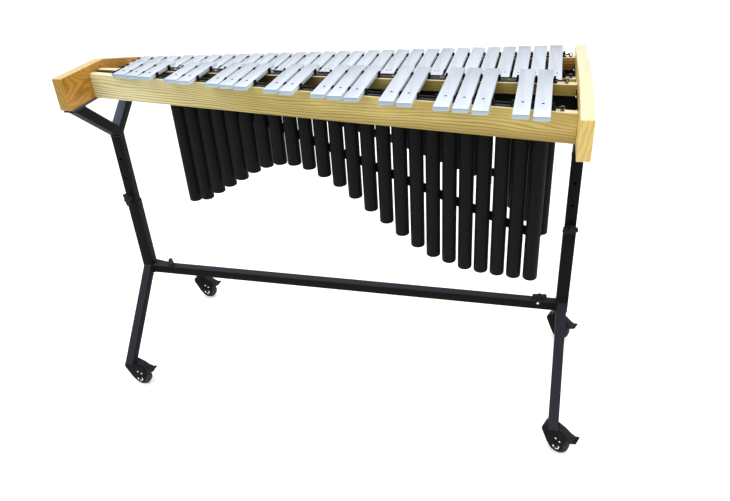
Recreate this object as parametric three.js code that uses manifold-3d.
// Four-octave aluminium-bar keyboard instrument with tube resonators on a height-adjustable
// rolling stand. Millimetres, +Z up, +X towards the low notes, +Y towards the player.
// Left (-X), right (+X), front (-Y) and rear (+Y) are as seen from the side opposite the player.
// Dimensions are measured from the plane of the two posts (y = 0) and the middle of the keyboard
// (x = 0); every mesh is then shifted so that the origin is on the floor at the outline's middle.
import * as THREE from "three";
import { mergeVertices } from "three/addons/utils/BufferGeometryUtils.js";
import Module from "manifold-3d";

// ---------------------------------------------------------------- shared dimensions
const OUTLINE_CENTRE = { x: 26, y: 1 };
const GAP = 0.3; // between neighbouring pieces
const SLIDE = 0.3; // sliding clearance on each side of a telescoping tube
const RUNNING_FIT = 0.08; // radial clearance of turning parts
const BEYOND = 5; // how far most cutters run past the face they open

// keyboard: slots count the accidental positions from high to low, naturals count 1 to 29
const PITCH = 40;
const LAST_SLOT = 26;
const MID_SLOT = 12.5; // the slot position at x = 0
const NATURALS = 29;
const BLOCK_BOTTOM = 872;
const BLOCK_THICK = 27;
const BLOCK_FACE = { high: -613.5, low: 609 }; // x of the inner faces of the end blocks
const INSIDE = { high: BLOCK_FACE.high + GAP, low: BLOCK_FACE.low - GAP };
const RAIL_THICK = 19;

// Bar rows. An edge or rail line is its [y at slot 0, y at slot 26].
const ACCIDENTAL = {
  top: 950,
  railTop: 936.5,
  minEdge: [-106.2, -310.4],
  maxEdge: [17.4, -6.4],
};
const NATURAL = {
  top: 924,
  railTop: 910.5,
  minEdge: [38.5, 4.4],
  maxEdge: [154.4, 294.7],
};
// centre line of each rail and the x of the cord hook at its low and high ends
const RAILS = {
  accidental_outer: { row: ACCIDENTAL, line: [-73.4, -232.0], hook: { low: 578, high: -540 } },
  accidental_inner: { row: ACCIDENTAL, line: [-23.7, -60.7], hook: { low: 586, high: -544 } },
  natural_inner: { row: NATURAL, line: [62.6, 60.0], hook: { low: 597, high: -598 } },
  natural_outer: { row: NATURAL, line: [131.0, 231.0], hook: { low: 597, high: -598 } },
};

// stand: square tubes
const OUTER = 32; // outer post
const INNER = { size: 28, wall: 2, bottom: 400 }; // inner post; the fork arms have its size
const CROSS = { size: 26, wall: 1.5, z: 300 }; // crossbar, z of its centre line
const SPIGOT_HALF = CROSS.size / 2 - CROSS.wall - SLIDE; // half width of the crossbar spigot
const GUIDE = { bottom: 534, top: 589, size: 31 }; // thin-walled guide on the outer post
const KNOB_Z = 552; // height knobs
const STEM = { radius: 5, top: 106 }; // caster stem

// The two ends of the stand. plate: y range of the bearing plate under the end block;
// turns and swivel: how the knobs (radians) and casters (degrees) stand at rest.
const ENDS = {
  left: {
    x: -623,
    inward: 1,
    feet: { front: -204, rear: 274 },
    plate: [-172, 188],
    heightTurn: Math.PI / 2 + 0.15,
    crossKnob: { x: -549, turn: Math.PI / 2 + 0.59 },
    swivel: 0,
  },
  right: {
    x: 629.5,
    inward: -1,
    feet: { front: -234, rear: 255 },
    plate: [-200, 200],
    heightTurn: 0.25,
    crossKnob: { x: 570, turn: 0.12 },
    swivel: -22,
  },
};

// ---------------------------------------------------------------- solids
const wasm = await Module();
wasm.setup();

const AXIS_X = new THREE.Vector3(1, 0, 0);
const AXIS_Y = new THREE.Vector3(0, 1, 0);
const AXIS_Z = new THREE.Vector3(0, 0, 1);

const solid = (geometry, matrix) => {
  geometry.deleteAttribute("normal");
  geometry.deleteAttribute("uv");
  geometry.applyMatrix4(matrix);
  const merged = mergeVertices(geometry, 1e-3);
  const index = merged.index.array;
  const build = (flip) => {
    const triangles = [];
    for (let i = 0; i < index.length; i += 3) {
      const [a, b, c] = index.slice(i, i + 3);
      const collapsed = a === b || b === c || a === c;
      if (!collapsed) triangles.push(a, flip ? c : b, flip ? b : c);
    }
    return new wasm.Manifold(
      new wasm.Mesh({
        numProp: 3,
        vertProperties: merged.attributes.position.array,
        triVerts: new Uint32Array(triangles),
      }),
    );
  };
  // a mirroring matrix turns the triangles inside out, so they are then flipped back
  const made = build(false);
  return made.volume() < 0 ? build(true) : made;
};

const geometryOf = (shape) => {
  const mesh = shape.getMesh();
  const points = new Float32Array(mesh.numVert * 3);
  for (let i = 0; i < mesh.numVert; i++) {
    const start = i * mesh.numProp;
    points.set(mesh.vertProperties.subarray(start, start + 3), i * 3);
  }
  return new THREE.BufferGeometry()
    .setAttribute("position", new THREE.BufferAttribute(points, 3))
    .setIndex(new THREE.BufferAttribute(new Uint32Array(mesh.triVerts), 1));
};

const union = (list) => list.reduce((sum, next) => sum.add(next));
const around = (centre, half) => [centre - half, centre + half];

const box = ([x0, x1], [y0, y1], [z0, z1]) =>
  solid(
    new THREE.BoxGeometry(x1 - x0, y1 - y0, z1 - z0),
    new THREE.Matrix4().makeTranslation((x0 + x1) / 2, (y0 + y1) / 2, (z0 + z1) / 2),
  );

// outline in the plane of two axes, extruded along the third
const extrude = (outline, depth, axes, origin) => {
  const shape = new THREE.Shape(outline.map(([u, v]) => new THREE.Vector2(u, v)));
  return solid(
    new THREE.ExtrudeGeometry(shape, { depth, bevelEnabled: false, steps: 1 }),
    new THREE.Matrix4().makeBasis(...axes).setPosition(...origin),
  );
};
const prismX = (yz, [x0, x1]) => extrude(yz, x1 - x0, [AXIS_Y, AXIS_Z, AXIS_X], [x0, 0, 0]);
const prismY = (xz, [y0, y1]) =>
  extrude(xz, y1 - y0, [AXIS_X, AXIS_Z, AXIS_Y.clone().negate()], [0, y1, 0]);
const prismZ = (xy, [z0, z1]) => extrude(xy, z1 - z0, [AXIS_X, AXIS_Y, AXIS_Z], [0, 0, z0]);

// the two end points as vectors, with their middle, distance and direction
const segment = (start, end) => {
  const from = new THREE.Vector3(...start);
  const to = new THREE.Vector3(...end);
  return {
    middle: from.clone().add(to).multiplyScalar(0.5),
    length: from.distanceTo(to),
    direction: to.clone().sub(from).normalize(),
  };
};

const rod = (start, end, radius, sides) => {
  const { middle, length, direction } = segment(start, end);
  const turn = new THREE.Quaternion().setFromUnitVectors(AXIS_Y, direction);
  return solid(
    new THREE.CylinderGeometry(radius, radius, length, sides, 1),
    new THREE.Matrix4().makeRotationFromQuaternion(turn).setPosition(middle),
  );
};

// rectangular section between two points in a plane of constant x
const beam = (start, end, width, height) => {
  const { middle, length, direction } = segment(start, end);
  const across = new THREE.Vector3().crossVectors(direction, AXIS_X).normalize();
  return solid(
    new THREE.BoxGeometry(width, height, length),
    new THREE.Matrix4().makeBasis(AXIS_X, across, direction).setPosition(middle),
  );
};

// radius of a polygonal bore whose flats clear a round part
const runningBore = (radius, sides) => (radius + RUNNING_FIT) / Math.cos(Math.PI / sides);

// ---------------------------------------------------------------- finishes and groups
const FINISHES = {
  powder: { color: 0x1d1c22, roughness: 0.42, metalness: 0.25 },
  resonator: { color: 0x1b1f1e, roughness: 0.5, metalness: 0.2 },
  bars: { color: 0xc9d2e2, roughness: 0.32, metalness: 0.9 },
  wood: { color: 0xdcc27a, roughness: 0.55, metalness: 0.0 },
  cord: { color: 0x101010, roughness: 0.9, metalness: 0.0 },
  steel: { color: 0xd8d8d8, roughness: 0.2, metalness: 1.0 },
  plastic: { color: 0x161618, roughness: 0.4, metalness: 0.0 },
  wheel: { color: 0x242426, roughness: 0.6, metalness: 0.0 },
};

const root = new THREE.Group();
root.name = "keyboard_instrument";
const groups = {};
for (const name of ["stand", "upper_frame", "keyboard", "resonators", "casters"]) {
  groups[name] = new THREE.Group();
  groups[name].name = `${name}_group`;
  root.add(groups[name]);
}

const put = (group, name, shape, finish) => {
  const mesh = new THREE.Mesh(
    geometryOf(shape),
    new THREE.MeshStandardMaterial(FINISHES[finish]),
  );
  mesh.name = name;
  mesh.position.set(-OUTLINE_CENTRE.x, -OUTLINE_CENTRE.y, 0);
  groups[group].add(mesh);
};

// ---------------------------------------------------------------- plan positions
const slotX = (slot) => (slot - MID_SLOT) * PITCH;
const naturalX = (natural) => (natural - (NATURALS + 1) / 2) * PITCH;
const lineY = ([first, last], x) =>
  first + ((last - first) * (x / PITCH + MID_SLOT)) / LAST_SLOT;

// plan outline of a strip of the given half width along a line
const stripPlan = (line, x0, x1, half) => [
  [x0, lineY(line, x0) - half],
  [x1, lineY(line, x1) - half],
  [x1, lineY(line, x1) + half],
  [x0, lineY(line, x0) + half],
];

// ---------------------------------------------------------------- rails and end blocks
// end block outlines, [y, z]
const HIGH_BLOCK = [
  [-177, BLOCK_BOTTOM], [195, BLOCK_BOTTOM], [195, 908], [6, 955], [-177, 957],
];
const LOW_BLOCK = [
  [-343, BLOCK_BOTTOM], [345, BLOCK_BOTTOM], [345, 913], [-55, 960],
  [-155, 963], [-300, 963], [-343, 958],
];

for (const [name, { row, line }] of Object.entries(RAILS)) {
  const plan = stripPlan(line, INSIDE.high, INSIDE.low, RAIL_THICK / 2);
  put("upper_frame", `${name}_rail`, prismZ(plan, [BLOCK_BOTTOM, row.railTop]), "wood");
}
const highBlock = prismX(HIGH_BLOCK, [BLOCK_FACE.high - BLOCK_THICK, BLOCK_FACE.high]);
const lowBlock = prismX(LOW_BLOCK, [BLOCK_FACE.low, BLOCK_FACE.low + BLOCK_THICK]);
put("upper_frame", "high_end_block", highBlock, "wood");
put("upper_frame", "low_end_block", lowBlock, "wood");

// ---------------------------------------------------------------- bars
const BAR = { width: 33, thick: 10 };
const CORD = { radius: 1.6, drop: 5, sides: 4 }; // drop: centre line below the bar tops
// bars between the gaps of the accidental row, from low to high
const NATURAL_GROUPS = [
  [27, 28, 29], [23, 24, 25, 26], [20, 21, 22], [16, 17, 18, 19],
  [13, 14, 15], [9, 10, 11, 12], [6, 7, 8], [1, 2, 3, 4, 5],
];
const ACCIDENTAL_GROUPS = [
  [25, 26], [21, 22, 23], [18, 19], [14, 15, 16], [11, 12], [7, 8, 9], [4, 5], [0, 1, 2],
];

// a group of bars strung on its stretch of the row's two cords
const barGroup = (xs, row) => {
  const parts = xs.map((x) =>
    box(
      around(x, BAR.width / 2),
      [lineY(row.minEdge, x), lineY(row.maxEdge, x)],
      [row.top - BAR.thick, row.top],
    ),
  );
  const rails = Object.values(RAILS).filter((rail) => rail.row === row);
  for (const { line } of rails) {
    const [start, end] = [xs[0], xs.at(-1)].map((x) => [x, lineY(line, x), row.top - CORD.drop]);
    parts.push(rod(start, end, CORD.radius, CORD.sides));
  }
  return union(parts);
};
NATURAL_GROUPS.forEach((naturals, i) => {
  put("keyboard", `natural_bars_${i + 1}`, barGroup(naturals.map(naturalX), NATURAL), "bars");
});
ACCIDENTAL_GROUPS.forEach((slots, i) => {
  put("keyboard", `accidental_bars_${i + 1}`, barGroup(slots.map(slotX), ACCIDENTAL), "bars");
});

// ---------------------------------------------------------------- felt strips and cord posts
// above: post tips over the cord line; vee: depth of the notch under the cord line;
// sunk: post foot above the felt's underside
const CORD_POST = { x: 3, y: 7, above: 1, vee: 3.2, sunk: 0.5 };
const FELT = { width: 10, thick: 2, overhang: 6 };

// x of the posts, one on each side of every bar
NATURAL.posts = Array.from({ length: NATURALS + 1 }, (_, i) => naturalX(i + 0.5));
const besideSlots = ACCIDENTAL_GROUPS.flat().flatMap((slot) => [slot - 0.5, slot + 0.5]);
ACCIDENTAL.posts = [...new Set(besideSlots)].sort((a, b) => a - b).map(slotX);

const postStrip = ({ row, line }) => {
  const bottom = row.railTop + GAP;
  const cordZ = row.top - CORD.drop;
  const half = CORD_POST.y / 2;
  const feltStart = row.posts[0] - FELT.overhang;
  const feltEnd = row.posts.at(-1) + FELT.overhang;
  const plan = stripPlan(line, feltStart, feltEnd, FELT.width / 2);
  const parts = [prismZ(plan, [bottom, bottom + FELT.thick])];
  for (const x of row.posts) {
    const y = lineY(line, x);
    const profile = [
      [y - half, bottom + CORD_POST.sunk],
      [y + half, bottom + CORD_POST.sunk],
      [y + half, cordZ + CORD_POST.above],
      [y, cordZ - CORD_POST.vee],
      [y - half, cordZ + CORD_POST.above],
    ];
    parts.push(prismX(profile, around(x, CORD_POST.x / 2)));
  }
  return union(parts);
};
for (const [name, rail] of Object.entries(RAILS)) {
  put("keyboard", `${name}_posts`, postStrip(rail), "cord");
}

// ---------------------------------------------------------------- cord hooks
const EYE = { radius: 4, wire: 1.3, wireSides: 4, sides: 8 };
const CORD_TAIL = { fromPost: 0.5, thinning: 0.8, rise: 0.3 };

// an eye on the rail and the end of the cord that runs to it from the last post
const cordHook = ({ row, line, hook }, end) => {
  const x = hook[end];
  const postX = end === "low" ? row.posts.at(-1) : row.posts[0];
  const side = Math.sign(x - postX);
  const y = lineY(line, x);
  const z = row.railTop + GAP + EYE.radius + EYE.wire;
  const ring = solid(
    new THREE.TorusGeometry(EYE.radius, EYE.wire, EYE.wireSides, EYE.sides),
    new THREE.Matrix4().makeRotationX(Math.PI / 2).setPosition(x, y, z),
  );
  const startX = postX + side * (CORD_POST.x / 2 + CORD_TAIL.fromPost);
  const tail = rod(
    [startX, lineY(line, startX), row.top - CORD.drop],
    [x - side * EYE.radius, y, z + CORD_TAIL.rise],
    CORD.radius * CORD_TAIL.thinning,
    CORD.sides,
  );
  return ring.add(tail);
};
for (const end of ["low", "high"]) {
  for (const [name, rail] of Object.entries(RAILS)) {
    put("keyboard", `cord_hook_${name}_${end}`, cordHook(rail, end), "steel");
  }
}

// ---------------------------------------------------------------- resonator banks
const TUBE = { radius: 17.5, wall: 1.7, floor: 3, sides: 12, boreSides: 6 };
// folded sheet: clearances to its two rails, height of the end tabs, inset of the low-end tab
const SHEET = { thick: 2, minGap: 2.5, maxGap: 1.5, tab: 16, lowInset: 2 };
const ACCIDENTAL_TUBE_LINE = { x: -380, y: -58, slope: -0.1087 };
// z of the closed tube bottoms, one per slot or natural from the first one up
const ACCIDENTAL_BOTTOMS = {
  first: 3,
  z: [
    584, 594, 618, 642, 666, 691, 710, 722, 724, 717, 701, 679,
    651, 620, 591, 561, 534, 512, 501, 489, 486, 485, 484, 484,
  ],
};
const NATURAL_BOTTOMS = {
  first: 6,
  z: [
    832, 827, 821, 815, 808, 800, 792, 783, 772, 761, 749, 735,
    720, 704, 687, 670, 652, 632, 612, 584, 553, 518, 481, 439,
  ],
};
const accidentalTubeY = (x) =>
  ACCIDENTAL_TUBE_LINE.y + (x - ACCIDENTAL_TUBE_LINE.x) * ACCIDENTAL_TUBE_LINE.slope;
const naturalTubeY = (x) =>
  (lineY(RAILS.natural_inner.line, x) + lineY(RAILS.natural_outer.line, x)) / 2;

const BANKS = {
  accidental: {
    minRail: RAILS.accidental_outer,
    maxRail: RAILS.accidental_inner,
    plateTop: 912,
    bottoms: ACCIDENTAL_BOTTOMS,
    barX: slotX,
    tubeY: accidentalTubeY,
    strap: [[-290, 878], [556, 590]], // [x, z] of the centre line at each end
  },
  natural: {
    minRail: RAILS.natural_inner,
    maxRail: RAILS.natural_outer,
    plateTop: 880,
    bottoms: NATURAL_BOTTOMS,
    barX: naturalX,
    tubeY: naturalTubeY,
    strap: [[-300, 848], [576, 560]],
  },
};

// a folded sheet between two rails, with the tubes set in it
const resonatorBank = ({ minRail, maxRail, plateTop, bottoms, barX, tubeY }) => {
  const minY = (x) => lineY(minRail.line, x) + RAIL_THICK / 2 + SHEET.minGap;
  const maxY = (x) => lineY(maxRail.line, x) - RAIL_THICK / 2 - SHEET.maxGap;
  const { high, low } = INSIDE;
  const plan = [[high, minY(high)], [low, minY(low)], [low, maxY(low)], [high, maxY(high)]];
  const plateBottom = plateTop - SHEET.thick;
  const tabZ = [plateBottom, plateTop + SHEET.tab];
  const lowTabY = [minY(low) + SHEET.lowInset, maxY(low) - SHEET.lowInset];
  const parts = [
    prismZ(plan, [plateBottom, plateTop]),
    box([high, high + SHEET.thick], [minY(high), maxY(high)], tabZ),
    box([low - SHEET.thick, low], lowTabY, tabZ),
  ];
  const bores = [];
  bottoms.z.forEach((z, i) => {
    const x = barX(bottoms.first + i);
    const y = tubeY(x);
    parts.push(rod([x, y, z], [x, y, plateTop], TUBE.radius, TUBE.sides));
    const bore = [[x, y, z + TUBE.floor], [x, y, plateTop + BEYOND]];
    bores.push(rod(...bore, TUBE.radius - TUBE.wall, TUBE.boreSides));
  });
  return union(parts).subtract(union(bores));
};

// a sloping flat strap along the player's side of a bank's tubes
const STRAP = { height: 24, thick: 2 };
const bankStrap = ({ tubeY, strap: [[x0, z0], [x1, z1]] }) => {
  const { middle, length, direction } = segment([x0, tubeY(x0), z0], [x1, tubeY(x1), z1]);
  const plan = new THREE.Vector3(direction.x, direction.y, 0).normalize();
  const outward = new THREE.Vector3(-plan.y, plan.x, 0);
  const across = new THREE.Vector3().crossVectors(outward, direction).normalize();
  middle.addScaledVector(outward, TUBE.radius + GAP + STRAP.thick / 2);
  return solid(
    new THREE.BoxGeometry(STRAP.thick, STRAP.height, length),
    new THREE.Matrix4().makeBasis(outward, across, direction).setPosition(middle),
  );
};
for (const [name, bank] of Object.entries(BANKS)) {
  put("resonators", `${name}_resonators`, resonatorBank(bank), "resonator");
}
for (const [name, bank] of Object.entries(BANKS)) {
  put("resonators", `${name}_bank_strap`, bankStrap(bank), "resonator");
}

// ---------------------------------------------------------------- forks
// z: where the arm centre lines meet; reachY: where they reach the bearing plate.
// armEnd and boreEnd are fractions of that reach; the arm bores lie boreDrop lower.
const FORK = { z: 751, reachY: 145, armEnd: 1.12, boreEnd: 0.93, boreDrop: 4, boreHeight: 20 };
const FORK_POST = { above: 4, boreBelow: 6 }; // ends of the post and its bore from FORK.z
const BEARING_PLATE = { thick: 3.2, overlap: 0.2 }; // overlap: with the arms cut level below it
const HEIGHT_HOLES = { pitch: 60, eachWay: 2, radius: 4, sides: 8 };

// the sliding inner post with its two arms and bearing plate
const fork = ({ x, plate }) => {
  const half = INNER.size / 2;
  const bore = half - INNER.wall;
  const top = BLOCK_BOTTOM - GAP;
  const arm = (side, baseZ, reach, width, height) => {
    const end = [x, side * FORK.reachY * reach, baseZ + (top - FORK.z) * reach];
    return beam([x, 0, baseZ], end, width, height);
  };
  const postZ = [INNER.bottom, FORK.z + FORK_POST.above];
  const boreZ = [INNER.bottom - 1, FORK.z - FORK_POST.boreBelow];
  const parts = [box(around(x, half), around(0, half), postZ)];
  const bores = [box(around(x, bore), around(0, bore), boreZ)];
  for (const side of [-1, 1]) {
    const { armEnd, boreEnd, boreDrop, boreHeight } = FORK;
    parts.push(arm(side, FORK.z, armEnd, INNER.size, INNER.size));
    bores.push(arm(side, FORK.z - boreDrop, boreEnd, 2 * bore, boreHeight));
  }
  const armCut = top - BEARING_PLATE.thick + BEARING_PLATE.overlap;
  const levelCut = box(around(x, 40), around(0, 300), [armCut, top + 60]);
  const bearingPlate = box(around(x, half), plate, [top - BEARING_PLATE.thick, top]);
  const holes = [];
  for (let i = -HEIGHT_HOLES.eachWay; i <= HEIGHT_HOLES.eachWay; i++) {
    const z = KNOB_Z + i * HEIGHT_HOLES.pitch;
    const ends = [[x, -half - 1, z], [x, -bore + 1, z]];
    holes.push(rod(...ends, HEIGHT_HOLES.radius, HEIGHT_HOLES.sides));
  }
  return union(parts)
    .subtract(levelCut)
    .subtract(union(bores))
    .add(bearingPlate)
    .subtract(union(holes));
};
for (const [name, end] of Object.entries(ENDS)) {
  put("upper_frame", `${name}_fork`, fork(end), "powder");
}

// ---------------------------------------------------------------- leg frames
// Leg centre lines run from the junction to endZ above the swivel axis. overrun, bore and vent
// are fractions of that run.
const LEG = {
  size: CROSS.size,
  wall: 1.5,
  junctionZ: 315,
  endZ: 98,
  overrun: 1.1,
  bore: [0.12, 0.9],
  vent: 0.86,
};
const VENT = { radius: 2.5, sides: 6 };
const STUB = 14; // full-size stub between post and crossbar
const SPIGOT = { reach: 80, wall: 1.5, boreStart: 4 }; // distances from the post face
const POST_FLOOR = 6; // outer post's bore starts this far above the crossbar's top
const SOCKET = { bottom: 89.5, top: 109, radius: 8 }; // the legs are cut level at its bottom
const SOCKET_SIDES = 12;
const KNOB_HOLE = { radius: 4.5, sides: 8 };

// outer post with guide, two legs, crossbar spigot and caster sockets
const legFrame = ({ x, inward, feet }) => {
  const half = OUTER / 2;
  const bore = INNER.size / 2 + SLIDE;
  const crossHalf = CROSS.size / 2;
  const spigotBore = SPIGOT_HALF - SPIGOT.wall;
  const span = (from, to) => [x + inward * from, x + inward * to].sort((a, b) => a - b);
  // square section of the given half width along the crossbar's centre line
  const inwardBar = (from, to, h) => box(span(from, to), around(0, h), around(CROSS.z, h));
  const parts = [
    box(around(x, half), around(0, half), [CROSS.z - crossHalf, GUIDE.bottom]),
    box(around(x, GUIDE.size / 2), around(0, GUIDE.size / 2), [GUIDE.bottom - 1, GUIDE.top]),
    inwardBar(0, half + STUB, crossHalf),
    inwardBar(0, half + SPIGOT.reach, SPIGOT_HALF),
  ];
  const postBoreZ = [CROSS.z + crossHalf + POST_FLOOR, GUIDE.top + BEYOND];
  const knobHole = [[x, -half - 8, KNOB_Z], [x, -bore + 2, KNOB_Z]];
  const cuts = [
    box(around(x, bore), around(0, bore), postBoreZ),
    inwardBar(half + SPIGOT.boreStart, half + SPIGOT.reach + BEYOND, spigotBore),
    rod(...knobHole, KNOB_HOLE.radius, KNOB_HOLE.sides),
  ];
  for (const footY of Object.values(feet)) {
    const legPoint = (t) => [x, footY * t, LEG.junctionZ + (LEG.endZ - LEG.junctionZ) * t];
    const leg = beam(legPoint(0), legPoint(LEG.overrun), LEG.size, LEG.size);
    parts.push(leg.subtract(box(around(x, 30), around(0, 400), [0, SOCKET.bottom])));
    const socket = [[x, footY, SOCKET.bottom], [x, footY, SOCKET.top]];
    parts.push(rod(...socket, SOCKET.radius, SOCKET_SIDES));

    const boreSize = LEG.size - 2 * LEG.wall;
    cuts.push(beam(...LEG.bore.map(legPoint), boreSize, boreSize));
    // vent hole of the closed leg tube
    const [, ventY, ventZ] = legPoint(LEG.vent);
    const ventX = x + inward * (LEG.size / 2 + 2);
    cuts.push(rod([ventX, ventY, ventZ], [x, ventY, ventZ], VENT.radius, VENT.sides));
    const stemBore = [[x, footY, SOCKET.bottom - BEYOND], [x, footY, STEM.top + 2]];
    cuts.push(rod(...stemBore, runningBore(STEM.radius, SOCKET_SIDES), SOCKET_SIDES));
  }
  return union(parts).subtract(union(cuts));
};
for (const [name, end] of Object.entries(ENDS)) {
  put("stand", `${name}_leg_frame`, legFrame(end), "powder");
}

// ---------------------------------------------------------------- crossbar
const crossbar = () => {
  const half = CROSS.size / 2;
  const bore = half - CROSS.wall;
  const fromPost = OUTER / 2 + STUB + GAP;
  const [x0, x1] = [ENDS.left.x + fromPost, ENDS.right.x - fromPost];
  const boreX = [x0 - BEYOND, x1 + BEYOND];
  const cuts = [box(boreX, around(0, bore), around(CROSS.z, bore))];
  for (const { crossKnob: { x } } of Object.values(ENDS)) {
    const ends = [[x, 0, CROSS.z + bore - 1], [x, 0, CROSS.z + half + 1]];
    cuts.push(rod(...ends, KNOB_HOLE.radius, KNOB_HOLE.sides));
  }
  return box([x0, x1], around(0, half), around(CROSS.z, half)).subtract(union(cuts));
};
put("stand", "crossbar", crossbar(), "powder");

// ---------------------------------------------------------------- clamp knobs
// wing outline, [x, y] about the stem
const WING = [
  [-19, -4], [-16, -6.5], [0, -5], [16, -6.5], [19, -4],
  [19, 4], [16, 6.5], [0, 5], [-16, 6.5], [-19, 4],
];
// heights are above the knob's base; the height knobs are longer by heightLift
const KNOB = {
  wing: { z: 5, thick: 8 },
  hub: { radius: 8.5, bottom: 0.5, top: 14 },
  stem: { radius: 4, top: 2 },
  sides: 8,
  heightLift: 9,
};
const STEM_GAP = 0.5; // the stems stop this far short of the tube they clamp

// a moulded wing on a stem; depth is how far the stem reaches below the base
const knob = ({ base, outward, turn, lift, depth }) => {
  const { wing, hub, stem, sides } = KNOB;
  const shape = union([
    prismZ(WING, [wing.z + lift, wing.z + lift + wing.thick]),
    rod([0, 0, hub.bottom], [0, 0, hub.top + lift], hub.radius, sides),
    rod([0, 0, -depth], [0, 0, stem.top], stem.radius, sides),
  ]);
  const aim = new THREE.Quaternion().setFromUnitVectors(AXIS_Z, outward);
  const matrix = new THREE.Matrix4()
    .makeRotationFromQuaternion(aim)
    .setPosition(...base)
    .multiply(new THREE.Matrix4().makeRotationZ(turn));
  return solid(geometryOf(shape), matrix);
};

for (const [name, { x, heightTurn }] of Object.entries(ENDS)) {
  const faceY = GUIDE.size / 2 + GAP;
  const heightKnob = knob({
    base: [x, -faceY, KNOB_Z],
    outward: AXIS_Y.clone().negate(),
    turn: heightTurn,
    lift: KNOB.heightLift,
    depth: faceY - INNER.size / 2 - STEM_GAP,
  });
  put("stand", `height_knob_${name}`, heightKnob, "plastic");
}
for (const [name, { crossKnob }] of Object.entries(ENDS)) {
  const rise = CROSS.size / 2 + GAP;
  const crossbarKnob = knob({
    base: [crossKnob.x, 0, CROSS.z + rise],
    outward: AXIS_Z,
    turn: crossKnob.turn,
    lift: 0,
    depth: rise - SPIGOT_HALF - STEM_GAP,
  });
  put("stand", `crossbar_knob_${name}`, crossbarKnob, "plastic");
}

// ---------------------------------------------------------------- casters
const WHEEL = { radius: 28, sides: 16 };
const TRAIL = 20; // axle from the swivel axis, along +X before swivelling
const AXLE_R = 4;
const SWIVEL_BEARING = { bottom: 83, top: 88.5, radius: 14 };
const CASTER_SIDES = 12;
const CHEEK_Y = { inner: 12.5, outer: 15.5 }; // faces of each cheek from the middle
const PEDAL = { x: 8, z: 67, pin: 2, sides: 8, toeHalf: 11.5, padHalf: 13.5 }; // x from the axle
// side outlines, [x from the axle, z]
const CHEEK = [
  [-43, 80], [-44, 68], [-26, 30], [-14, 15], [-3, 12], [8, 15], [15, 24],
  [18, 36], [21, 52], [21, 64], [12, 72], [-8, 84], [-36, 85],
];
const ROOF = [
  [-36, 85], [-10, 85], [-10, 81.8], [-34.5, 81.8], [-39.5, 77],
  [-41, 68.5], [-30.5, 46.5], [-33.1, 45], [-44, 68], [-43, 80],
];
const TOE = [
  [-4.5, 85], [12, 78.5], [36, 60], [48, 63], [49.5, 60.5], [37.5, 54],
  [30, 51], [24, 54], [14, 60], [4, 62], [-4.5, 76],
];
const PAD = [
  [28.5, 65.8], [36, 60], [48, 63], [49.5, 60.5], [37.5, 54], [30, 51], [28.5, 52],
];
// wheel section, [radius, distance along the axle]
const WHEEL_BORE = runningBore(AXLE_R, WHEEL.sides);
const WHEEL_SECTION = [
  [WHEEL_BORE, -11.5], [10, -11.5], [19, -8], [22, -10], [WHEEL.radius, -8.5],
  [WHEEL.radius, 8.5], [22, 10], [19, 8], [10, 11.5], [WHEEL_BORE, 11.5], [WHEEL_BORE, -11.5],
];

const fromAxle = (outline, axleX) => outline.map(([x, z]) => [x + axleX, z]);
const rodAlongY = (x, y, z, half, radius, sides) =>
  rod([x, y - half, z], [x, y + half, z], radius, sides);

// two cheeks, roof, swivel bearing, stem and axle, bored for the pedal pin
const casterFork = (x, y, axleX) => {
  const { inner, outer } = CHEEK_Y;
  const cheek = fromAxle(CHEEK, axleX);
  const { bottom, top, radius } = SWIVEL_BEARING;
  const pinBore = runningBore(PEDAL.pin, PEDAL.sides);
  return union([
    prismY(cheek, [y - outer, y - inner]),
    prismY(cheek, [y + inner, y + outer]),
    prismY(fromAxle(ROOF, axleX), around(y, inner + 1)),
    rod([x, y, bottom], [x, y, top], radius, CASTER_SIDES),
    rod([x, y, top - 1], [x, y, STEM.top], STEM.radius, CASTER_SIDES),
    rodAlongY(axleX, y, WHEEL.radius, outer + 1, AXLE_R, CASTER_SIDES),
  ]).subtract(rodAlongY(axleX + PEDAL.x, y, PEDAL.z, 20, pinBore, PEDAL.sides));
};

// The lathe turns about Y, the axle's direction.
const casterWheel = (y, axleX) =>
  solid(
    new THREE.LatheGeometry(
      WHEEL_SECTION.map(([radius, along]) => new THREE.Vector2(radius, along)),
      WHEEL.sides,
    ),
    new THREE.Matrix4().makeTranslation(axleX, y, WHEEL.radius),
  );

const brakePedal = (y, axleX) =>
  union([
    prismY(fromAxle(TOE, axleX), around(y, PEDAL.toeHalf)),
    prismY(fromAxle(PAD, axleX), around(y, PEDAL.padHalf)),
    rodAlongY(axleX + PEDAL.x, y, PEDAL.z, CHEEK_Y.outer - GAP, PEDAL.pin, PEDAL.sides),
  ]);

for (const [side, { x, feet, swivel }] of Object.entries(ENDS)) {
  for (const [depth, y] of Object.entries(feet)) {
    const where = `${depth}_${side}`;
    const axleX = x + TRAIL;
    const turned = (shape) =>
      shape.translate([-x, -y, 0]).rotate([0, 0, swivel]).translate([x, y, 0]);
    put("casters", `caster_fork_${where}`, turned(casterFork(x, y, axleX)), "powder");
    put("casters", `caster_wheel_${where}`, turned(casterWheel(y, axleX)), "wheel");
    put("casters", `brake_pedal_${where}`, turned(brakePedal(y, axleX)), "plastic");
  }
}

export default root;
